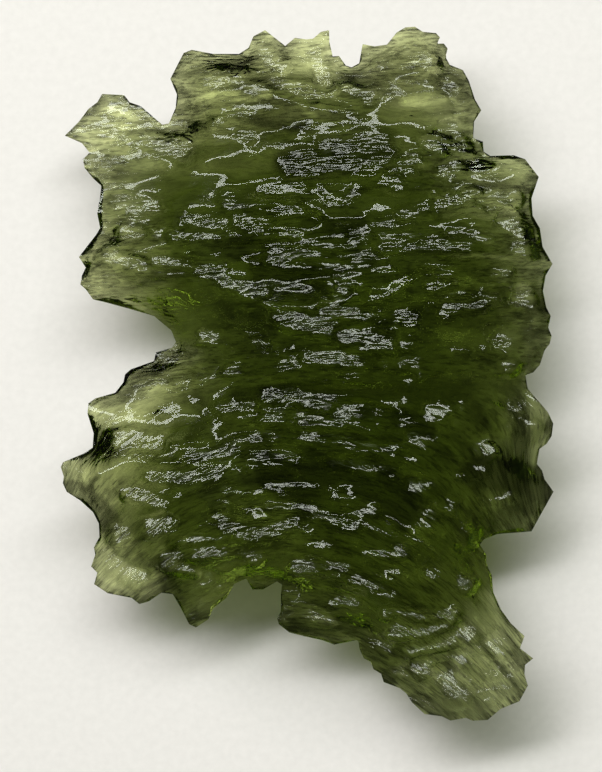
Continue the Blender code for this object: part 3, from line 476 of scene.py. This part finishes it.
def stroke_points(start, bend, end):
    """A row of points on the curve (1 - t)^2 start + 2t(1 - t) bend + t^2 end."""
    t = np.linspace(0.0, 1.0, STROKE_STEPS + 1)[:, None]
    return (1 - t) ** 2 * np.array(start) + 2 * t * (1 - t) * np.array(bend) + t * t * np.array(end)


def to_stroke(x, y, start, bend, end):
    """Squared distance to a bent line, taken as the nearest of its row of points."""
    near = np.full_like(x, 1e9)
    for px, py in stroke_points(start, bend, end):
        near = np.minimum(near, (x - px) ** 2 + (y - py) ** 2)
    return near


def stroke_depth(x, y, strokes):
    """Depth of all furrows: each deep * exp(-(distance / half width)^2)."""
    depth = np.zeros_like(x)
    for start, bend, end, half, deep in strokes:
        depth += deep * np.exp(-to_stroke(x, y, start, bend, end) / (half * half))
    return depth


def warp(x, y):
    """Plan point moved by slow noise of half a millimetre, so that no scoop or furrow looks drawn."""
    return (x + 0.50 * noise(x / 1.9, y / 1.3, 31) + 0.20 * noise(x / 0.9, y / 0.7, 33),
            y + 0.38 * noise(x / 2.3, y / 1.5, 32) + 0.16 * noise(x / 0.9, y / 0.7, 34))


def flow_line(x, y):
    """A number that stays the same along the glass flow: level above, arched down to the right below."""
    fall = 1 / (1 + np.exp((y + 4.0) / 2.0))
    return y - 0.05 * x * (1 - fall) + 0.05 * fall * (x + 1.0) ** 2


def ripples(x, y):
    """Rolling waves across the flow, bent by two slower waves."""
    band = flow_line(x, y)
    wander = 1.3 * np.sin(0.55 * x + 0.3 * band) + 0.9 * np.sin(1.1 * x - 0.7 * band + 1.0)
    return 0.10 * np.sin(2.3 * band + wander) + 0.05 * np.sin(3.4 * band - 1.3 * wander + 2.0)


def lumps(x, y):
    """Etched cells drawn out along the flow, hollows with sharp crests between, on slower swells."""
    band = flow_line(x, y)
    wander = 0.45 * noise(x / 2.6, band / 1.7, 51)
    cells = dimples(x / 3.3 + wander, band / 1.5 + 0.6 * wander, 52) - 0.55
    return 0.45 * cells + 0.15 * noise(x / 2.2, band / 1.1, 53)


def thickness_share(x, y):
    """One in the body of the stone, less in its thin wings, lobes and tip."""
    share = np.ones_like(x)
    for cx, cy, rx, ry, missing in THIN_PARTS:
        share *= 1 - missing * np.exp(-((x - cx) / rx) ** 2 - ((y - cy) / ry) ** 2)
    return share


def edge_gap(x, y, loop):
    """Distance to the outline, softened inwards: (2/pi * sum of step / r^4)^(-1/3) walked along it."""
    pull = np.zeros_like(x)
    for a, b in zip(loop, np.roll(loop, -1, axis=0)):
        side = np.linalg.norm(b - a)
        count = max(1, int(math.ceil(side / 0.30)))
        for k in range(count):
            px, py = a + (b - a) * (k + 0.5) / count
            pull += (side / count) / ((x - px) ** 2 + (y - py) ** 2 + 0.02) ** 2
    gap = (pull * 2 / math.pi) ** (-1 / 3)
    return np.sqrt(gap * gap + 0.04) - 0.2


def faded(gap, reach):
    """Zero on the rim and near one well inside it: 1 - e^(-gap / reach)."""
    return 1 - np.exp(-gap / reach)


def risen(gap):
    """The rise of a face from the rim, one in the middle of the stone."""
    return faded(gap, RISE_REACH) / faded(MIDDLE_GAP, RISE_REACH)


def rim_height(x, y):
    """Height of the sharp rim above the paper, gently waving round the stone."""
    wave = 0.45 * np.sin(0.42 * x + 0.8) * np.cos(0.21 * y)
    return RIM_HEIGHT + wave + 0.30 * np.sin(0.5 * y + 0.2 * x)


def soft_step(low, high, value):
    """Zero at low, one at high (either may be the larger), joined by the curve 3t^2 - 2t^3."""
    t = np.clip((value - low) / (high - low), 0, 1)
    return t * t * (3 - 2 * t)


def planed(x, y, height, gap, loop):
    """Each glitter patch cut into a row of flat facets that face the long lamp.

    A facet is its middle's height - fall * (y - middle y) + turn * (x - middle x), and neighbours are
    averaged by e^(-distance^2 / blend).
    """
    ragged = 0.25 * noise(x / 1.5, y / 0.30, 23)
    for number, (start, bend, end, half, _) in enumerate(GLITTER):
        line = stroke_points(start, bend, end)
        span = np.linalg.norm(np.diff(line, axis=0), axis=1).sum()
        count = max(1, int(round(span / FACET_LENGTH)))
        middles = line[np.round((np.arange(count) + 0.5) * STROKE_STEPS / count).astype(int)]
        level = swell(middles[:, 0], middles[:, 1], edge_gap(middles[:, 0], middles[:, 1], loop))
        pull, facet = np.full_like(x, 1e-12), np.zeros_like(x)
        for k, ((px, py), pz) in enumerate(zip(middles, level)):
            lean = 0.05 * (2 * lattice(number, k, 26) - 1)
            fall = FACET_FALL + lean - FACET_FALL_CHANGE * py
            turn = FACET_TURN + FACET_TURN_CHANGE * px
            weight = np.exp(-((x - px) ** 2 + (y - py) ** 2) / FACET_BLEND)
            facet += weight * (pz - fall * (y - py) + turn * (x - px))
            pull += weight
        away = np.sqrt(to_stroke(x, y, start, bend, end)) + ragged
        cut = soft_step(half + 0.32, half + 0.08, away) * (1 - np.exp(-(gap / 0.6) ** 2))
        height = height + cut * (facet / pull - height)
    return height


def clear_share(x, y):
    """How far a place is a smooth clear window, one in the middle of each: e^(-(a^2 + b^2)^2)."""
    misted = np.ones_like(x)
    for cx, cy, rx, ry in WINDOWS:
        misted *= 1 - np.exp(-(((x - cx) / rx) ** 2 + ((y - cy) / ry) ** 2) ** 2)
    return 1 - misted


def glitter_share(x, y):
    """How strongly close striae cut the surface, one in a ragged patch, and the painted shade round it.
    """
    band = flow_line(x, y)
    ragged = 0.50 * noise(x / 1.1, band / 0.30, 21) + 0.30 * noise(x / 0.4, band / 0.15, 24)
    share = 0.10 + 0.25 * soft_step(0.00, 0.40, noise(x / 2.2, band / 0.60, 22))
    share *= 1 - 0.9 * clear_share(x, y)
    shade = share.copy()
    for start, bend, end, half, strength in GLITTER:
        away = np.sqrt(to_stroke(x, y, start, bend, end))
        near = soft_step(half + 0.25, half - 0.05, away + 0.25 * ragged)
        share = np.maximum(share, strength * near)
        around = soft_step(half + 0.45, half + 0.10, away + 0.30 * ragged)
        # Painted shade: the ground round each glitter patch is darkened in colour.
        shade = np.maximum(shade, 0.50 * strength * around)
    return share, shade


def fine_relief(x, y, share, seed):
    """Striae along the flow and small etched dimples, in millimetres, deepest in the glitter patches."""
    band = flow_line(x, y) + 0.12 * noise(x / 1.7, y / 1.1, seed + 40)
    long_striae = noise(x / 3.1, band / 0.75, seed) * 0.09
    striae = noise(x / 1.6, band / 0.42, seed + 1) * 0.06
    pits = (dimples(x / 1.25 + 0.3 * noise(x, y, seed + 3), band / 0.70, seed + 2) - 0.5) * 0.10
    return (0.80 - 0.45 * share) * (long_striae + striae) + (0.12 + 0.28 * share) * pits


def swell(x, y, gap):
    """The front's large form: rim + blunt edge + crown * rise, less scoops, furrows, waves and lumps."""
    rise = risen(gap * (1 + 0.15 * noise(x / 2.0, y / 1.4, 61)))
    wx, wy = warp(x, y)
    cut = hollow(wx, wy, SCOOPS) + stroke_depth(wx, wy, FURROWS) - ripples(x, y) - lumps(x, y)
    crown = (CROWN_HEIGHT - BLUNT_EDGE) * thickness_share(x, y) * rise
    blunt = BLUNT_EDGE * soft_step(0.60, 0.95, thickness_share(x, y)) * faded(gap, BLUNT_REACH)
    return rim_height(x, y) + blunt + crown - cut * faded(gap, CUT_REACH)


def front_height(x, y, gap, share, loop):
    """The swell smoothed in its windows, with its glitter patches planed, and the fine relief on it."""
    fine = fine_relief(x, y, share, 11) * faded(gap, FINE_REACH)
    level = swell(x, y, gap) - 0.85 * clear_share(x, y) * lumps(x, y) * faded(gap, CUT_REACH)
    return planed(x, y, level, gap, loop) + fine


def back_height(x, y, gap, share):
    """Rim - keel * rise + cuts, with four feet drawn down and cut level at the paper."""
    fall = risen(gap * (1 + 0.12 * noise(x / 1.8, y / 1.3, 62)))
    wx, wy = warp(-x, y)
    cut = hollow(-wx, wy, BACK_SCOOPS) + stroke_depth(-wx, wy, BACK_FURROWS) + ripples(-x, y + 3.0)
    cut = 0.6 * cut + 0.4 * lumps(-x, y + 5.0) + 0.5 * fine_relief(-x, y, share, 71)
    keel = KEEL_DEPTH * thickness_share(x, y) ** 0.6 * fall
    raw = rim_height(x, y) - keel + cut * faded(gap, FINE_REACH)
    for cx, cy, reach in FEET:
        near = np.exp(-((x - cx) ** 2 + (y - cy) ** 2) / reach ** 2)
        raw = raw * (1 - near) - 0.20 * near
    return np.maximum(raw, 0.0)


def quads(ids):
    """The four-cornered faces of a grid of point numbers, each between four neighbours."""
    return np.stack([ids[:-1, :-1], ids[:-1, 1:], ids[1:, 1:], ids[1:, :-1]], axis=-1).reshape(-1, 4)


def both_sheets(front, back, on_rim):
    """Three numbers for each point: the front's for all of them, then the back's inside the rim."""
    upper, lower = (np.stack(np.broadcast_arrays(*three, on_rim)[:3], axis=-1) for three in (front, back))
    return np.concatenate([upper.reshape(-1, 3), lower[~on_rim]])


def skin(points, on_rim):
    """The mesh through two sheets of points that share their rim, smooth but for the sharp rim."""
    index = np.arange(on_rim.size).reshape(on_rim.shape)
    under = index.copy()
    under[~on_rim] = on_rim.size + np.arange((~on_rim).sum())
    faces = np.concatenate([quads(index), quads(under)[:, ::-1]])
    mesh = bpy.data.meshes.new("moldavite_stone")
    mesh.from_pydata((points * MM).tolist(), [], faces.tolist())
    mesh.polygons.foreach_set("use_smooth", np.ones(len(faces), dtype=bool))
    ends = np.empty(2 * len(mesh.edges), dtype=np.int32)
    mesh.edges.foreach_get("vertices", ends)
    rim_points = np.concatenate([on_rim.ravel(), np.zeros((~on_rim).sum(), dtype=bool)])
    mesh.edges.foreach_set("use_edge_sharp", rim_points[ends.reshape(-1, 2)].all(axis=1))
    return mesh


def keep(mesh, name, rows):
    """Three numbers for each point, kept on the mesh under a name that the material reads."""
    layer = mesh.attributes.new(name, "FLOAT_VECTOR", "POINT")
    layer.data.foreach_set("vector", rows.astype(np.float32).ravel())


def body_share(x, y, gap):
    """One over the thick body of the stone, falling to zero over its rim and its thin parts."""
    return soft_step(0.8, 3.5, gap) * soft_step(0.45, 0.9, thickness_share(x, y))


def shaded_share(x, y, gap):
    """How much painted shade a place gets: the largest of that in the deep furrows, along the shaded
    strokes and at the thick rim.
    """
    wx, wy = warp(x, y)
    depth = stroke_depth(wx, wy, [furrow for furrow in FURROWS if furrow[4] > 0])
    shaded = body_share(x, y, gap) * soft_step(0.25, 0.75, depth)
    ragged = 0.35 * noise(x / 1.2, y / 0.45, 25)
    for start, bend, end, half, strength in SHADED:
        away = np.sqrt(to_stroke(x, y, start, bend, end))
        shaded = np.maximum(shaded, strength * soft_step(1.5 * half, 0.7 * half, away + ragged * half))
    # Painted shade along the rim of the thick body, less in the clear windows.
    painted_rim_shade = soft_step(2.4, 0.6, gap) * soft_step(0.60, 0.90, thickness_share(x, y))
    return np.maximum(shaded, 0.38 * painted_rim_shade * (1 - 0.7 * clear_share(x, y)))


def moldavite():
    """The stone as one closed skin: a front and a back sheet on the same grid, joined along the rim.

    Kept for the material at each point: flow (X, place across the flow, Z), glitter with painted shade
    (glitter, painted shade round the glitter, painted shade of furrows and rim) and veil (creases with
    their painted shade, mist, clearness).
    """
    right, top, left, bottom = outline_sides()
    plan = relaxed(divided(plan_grid(right, top, left, bottom), FINE_ACROSS, FINE_ALONG), 60)
    x, y = plan[..., 0], plan[..., 1]
    glitter, painted_ground_shade = glitter_share(x, y)
    back_glitter = np.clip(0.45 + 0.35 * noise(x / 3.0, y / 2.0, 5), 0, 1)
    on_rim = np.ones(x.shape, dtype=bool)
    on_rim[1:-1, 1:-1] = False
    rim = rim_height(x, y)
    loop = np.concatenate([right[:-1], top[:0:-1], left[:0:-1], bottom[:-1]])
    gap = edge_gap(x, y, loop)
    front = np.where(on_rim, rim, front_height(x, y, gap, glitter, loop))
    back = np.where(on_rim, rim, back_height(x, y, gap, back_glitter))
    points = both_sheets((x, y, front), (x, y, back), on_rim)
    mesh = skin(points, on_rim)
    band = flow_line(points[:, 0], points[:, 1])
    keep(mesh, "flow", np.stack([points[:, 0], band, points[:, 2]], axis=-1))
    thick = body_share(x, y, gap)
    # Glitter strength, painted shade round the glitter, painted shade in furrows and along the rim.
    glitter_and_shade = (glitter, painted_ground_shade * (0.15 + 0.85 * thick), shaded_share(x, y, gap))
    keep(mesh, "glitter_and_shade", both_sheets(glitter_and_shade, (back_glitter, 0.0, 0.0), on_rim))
    misted = 1 - 0.7 * clear_share(x, y)
    veil = ((1 - 0.75 * thick) * misted, misted, 1 - misted)
    keep(mesh, "veil", both_sheets(veil, (0.0, 0.6, 0.4), on_rim))
    mesh.update()
    stone = bpy.data.objects.new("moldavite_stone", mesh)
    bpy.context.scene.collection.objects.link(stone)
    return stone


def node(tree, kind, place, sockets=None, **settings):
    """A shader node of a kind at a place, with its settings; a socket gets a value or a link."""
    made = tree.nodes.new(kind)
    made.location = place
    for name, value in settings.items():
        setattr(made, name, value)
    for name, value in (sockets or {}).items():
        if isinstance(value, bpy.types.NodeSocket):
            tree.links.new(value, made.inputs[name])
        else:
            made.inputs[name].default_value = value
    return made


def product(tree, place, first, second):
    """The product of two values."""
    values = {0: first, 1: second}
    return node(tree, "ShaderNodeMath", place, values, operation="MULTIPLY").outputs["Value"]


def product_plus(tree, place, first, second, added):
    """The product of two values, with a third added."""
    values = {0: first, 1: second, 2: added}
    return node(tree, "ShaderNodeMath", place, values, operation="MULTIPLY_ADD").outputs["Value"]


def scaled(tree, place, colour, share):
    """A colour times a value."""
    sockets = {0: colour, "Scale": share}
    return node(tree, "ShaderNodeVectorMath", place, sockets, operation="SCALE").outputs["Vector"]


def ramp(tree, place, value, span, reach, interpolation="LINEAR"):
    """A value carried from the span (low, high) to the reach (low, high), and held at its ends."""
    sockets = {"Value": value, "From Min": span[0], "From Max": span[1],
               "To Min": reach[0], "To Max": reach[1]}
    made = node(tree, "ShaderNodeMapRange", place, sockets, interpolation_type=interpolation)
    return made.outputs["Result"]


def drawn_noise(tree, place, flow, cells, detail, roughness=0.5, distortion=0.0):
    """Noise with so many cells per millimetre of the flow attribute, long along the flow."""
    before = (place[0] - 200, place[1])
    stretch = node(tree, "ShaderNodeMapping", before, {"Vector": flow, "Scale": cells})
    sockets = {"Vector": stretch.outputs["Vector"], "Scale": 1.0, "Detail": detail,
               "Roughness": roughness, "Distortion": distortion}
    return node(tree, "ShaderNodeTexNoise", place, sockets).outputs["Fac"]


def kept(tree, place, name):
    """The three numbers that the mesh keeps under a name, as three values."""
    layer = node(tree, "ShaderNodeAttribute", (place[0] - 200, place[1]), attribute_name=name)
    parts = node(tree, "ShaderNodeSeparateXYZ", place, {"Vector": layer.outputs["Vector"]})
    return [parts.outputs[axis] for axis in "XYZ"]


def bottle_glass():
    """Clear green glass: transmission and absorption, with striae in its bump and roughness, and painted
    shade and random streaks in its base colour.
    """
    mat = bpy.data.materials.new("bottle_green_glass")
    mat.use_nodes = True
    tree = mat.node_tree
    tree.nodes.clear()
    flow = node(tree, "ShaderNodeAttribute", (-1100, 0), attribute_name="flow").outputs["Vector"]
    glitter, painted_ground_shade, shaded = kept(tree, (-1100, -300), "glitter_and_shade")
    creasing, mist, clearness = kept(tree, (-1300, -600), "veil")

    dashes = drawn_noise(tree, (-700, 150), flow, DASH_CELLS, 0.0)
    cut = product(tree, (-300, 0), dashes, glitter)
    creases = drawn_noise(tree, (-700, -700), flow, CREASE_CELLS, 4.0, distortion=0.6)
    crease = ramp(tree, (-500, -700), creases, (0.38, 0.50), (1.0, 0.0), "SMOOTHSTEP")
    line = product(tree, (-300, -700), crease, creasing)
    relief = product_plus(tree, (0, -300), line, -0.5, cut)
    bump = node(tree, "ShaderNodeBump", (200, -200),
                {"Strength": 1.0, "Distance": BUMP_DEPTH * MM, "Height": relief})

    crest = ramp(tree, (-500, 350), dashes, (0.42, 0.58), (0.0, 1.0), "SMOOTHSTEP")
    worn = ramp(tree, (-500, -1000), creases, (0.46, 0.60), (0.05, 0.14), "SMOOTHSTEP")
    on_crest = product(tree, (-100, 250), crest, glitter)
    rough = product_plus(tree, (200, 200), on_crest, worn, SKIN_ROUGHNESS)

    # Painted shade round the glitter patches, darker in the dips than on the crests of the dashes.
    in_dip = product_plus(tree, (-300, 500), painted_ground_shade, -0.95, 1.0)
    on_top = product_plus(tree, (-300, 700), painted_ground_shade, -0.75, 1.0)
    painted_dip_shade = ramp(tree, (-100, 500), crest, (0.0, 1.0), (in_dip, on_top))
    # Painted shade in the furrows, along the shaded strokes and at the rim.
    painted_furrow_shade = product_plus(tree, (-100, 750), shaded, -0.85, 1.0)
    # Painted shade along the crease lines.
    painted_crease_shade = product_plus(tree, (100, -700), line, -0.55, 1.0)
    streaks = drawn_noise(tree, (-700, 900), flow, STREAK_CELLS, 4.0, roughness=0.6)
    streaked = ramp(tree, (-500, 900), streaks, (0.38, 0.58), (0.28, 1.25))
    threads = drawn_noise(tree, (-700, 1200), flow, THREAD_CELLS, 1.0)
    threaded = ramp(tree, (-500, 1200), threads, (0.36, 0.47), (0.35, 1.0))
    grain = product(tree, (-300, 1100), streaked, threaded)
    grain = product_plus(tree, (-200, 1100), grain, mist, clearness)
    # The base colour: the skin's tint times the painted shade and the random streaks and threads.
    painted_shade_and_grain = product(tree, (100, 600), painted_dip_shade, painted_furrow_shade)
    painted_shade_and_grain = product(tree, (200, 700), painted_shade_and_grain, painted_crease_shade)
    painted_shade_and_grain = product(tree, (200, 850), painted_shade_and_grain, grain)
    skin_tint_and_painted_shade = scaled(tree, (300, 600), SKIN_STAIN, painted_shade_and_grain)

    glass = node(tree, "ShaderNodeBsdfPrincipled", (600, 0), {
        "Base Color": skin_tint_and_painted_shade, "Metallic": 0.0, "Roughness": rough, "IOR": GLASS_INDEX,
        "Specular IOR Level": 1.0, "Transmission Weight": 1.0, "Normal": bump.outputs["Normal"]})
    through = node(tree, "ShaderNodeBsdfTransparent", (600, 250), {"Color": SHADOW_TINT})
    path = node(tree, "ShaderNodeLightPath", (600, 600))
    by_ray = node(tree, "ShaderNodeMixShader", (800, 150), {
        0: path.outputs["Is Shadow Ray"], 1: glass.outputs["BSDF"], 2: through.outputs["BSDF"]})
    depth = node(tree, "ShaderNodeVolumeAbsorption", (600, -500),
                 {"Color": GLASS_GREEN, "Density": GLASS_DENSITY})
    node(tree, "ShaderNodeOutputMaterial", (1000, 0),
         {"Surface": by_ray.outputs["Shader"], "Volume": depth.outputs["Volume"]})
    return mat


def pale_paper():
    """Matt pale paper, its tone scaled by the noise of its fibres."""
    mat = bpy.data.materials.new("pale_paper")
    mat.use_nodes = True
    tree = mat.node_tree
    place = node(tree, "ShaderNodeTexCoord", (-800, 0)).outputs["Object"]
    fibres = node(tree, "ShaderNodeTexNoise", (-600, 0),
                  {"Vector": place, "Scale": PAPER_FIBRES, "Detail": 3.0})
    grain = ramp(tree, (-400, 0), fibres.outputs["Fac"], (0.0, 1.0), (0.94, 1.06))
    shader = tree.nodes["Principled BSDF"]
    tree.links.new(scaled(tree, (-200, 0), PAPER_TONE, grain), shader.inputs["Base Color"])
    shader.inputs["Roughness"].default_value = 0.9
    shader.inputs["Specular IOR Level"].default_value = 0.1
    return mat


def paper_sheet():
    """The pale paper under the stone, one flat square just below its feet."""
    half = PAPER_HALF
    mesh = bpy.data.meshes.new("paper")
    corners = [(-half, -half, 0), (half, -half, 0), (half, half, 0), (-half, half, 0)]
    mesh.from_pydata(corners, [], [(0, 1, 2, 3)])
    paper = bpy.data.objects.new("paper", mesh)
    bpy.context.scene.collection.objects.link(paper)
    mesh.materials.append(pale_paper())
    paper.visible_glossy = False
    return paper


def soft_lamp(name, azimuth, elevation, distance, size, radiance, colour=(1.0, 1.0, 1.0)):
    """An area lamp facing the stone: azimuth from +X to +Y and elevation, distance and size in metres."""
    az, el = math.radians(azimuth), math.radians(elevation)
    data = bpy.data.lights.new(name, "AREA")
    data.shape = "RECTANGLE"
    data.size, data.size_y = size
    data.energy = radiance * math.pi * size[0] * size[1]
    data.color = colour
    lamp = bpy.data.objects.new(name, data)
    lamp.location = (distance * math.cos(el) * math.cos(az), distance * math.cos(el) * math.sin(az),
                     distance * math.sin(el))
    lamp.rotation_euler = (math.pi / 2 - el, 0, az + math.pi / 2)
    bpy.context.scene.collection.objects.link(lamp)
    return lamp


def studio():
    """A long bright strip of light past the stone's upper end and a soft window, in a dim room.

    The window lights the paper and is kept out of the reflections on the stone.
    """
    soft_lamp("strip", 106, 50, 0.60, (1.30, 0.12), 13.0, (0.95, 1.0, 0.91))
    window = soft_lamp("window", 130, 35, 0.80, (0.50, 0.40), 5.0, (1.0, 0.97, 0.95))
    window.visible_glossy = False
    world = bpy.data.worlds.new("room")
    world.use_nodes = True
    sky = world.node_tree.nodes["Background"]
    sky.inputs["Color"].default_value = (1.0, 0.99, 0.96, 1.0)
    sky.inputs["Strength"].default_value = 0.02
    bpy.context.scene.world = world


def photo_camera():
    """Straight down on the stone from well above, framed as the photograph is."""
    data = bpy.data.cameras.new("photo_camera")
    data.sensor_width = FILM_WIDTH
    data.lens = LENS
    data.clip_start = 0.01
    data.clip_end = 5.0
    camera = bpy.data.objects.new("photo_camera", data)
    middle_x, middle_y = PICTURE_MIDDLE
    above = RIM_HEIGHT + LENS * PICTURE_HEIGHT / FILM_WIDTH
    camera.location = (middle_x * MM, middle_y * MM, above * MM)
    bpy.context.scene.collection.objects.link(camera)
    bpy.context.scene.camera = camera


stone = moldavite()
stone.data.materials.append(bottle_glass())
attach(stone, "root")
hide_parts("moldavite")
paper_sheet()
studio()
photo_camera()
scene = bpy.context.scene
scene.view_settings.view_transform = "Standard"
scene.cycles.max_bounces = 14
scene.cycles.transmission_bounces = 14
scene.cycles.caustics_refractive = False
scene.cycles.caustics_reflective = False
scene.cycles.diffuse_bounces = 4
scene.cycles.glossy_bounces = 8
scene.cycles.sample_clamp_indirect = 1.0
scene.cycles.denoising_prefilter = "NONE"

bpy.context.view_layer.update()
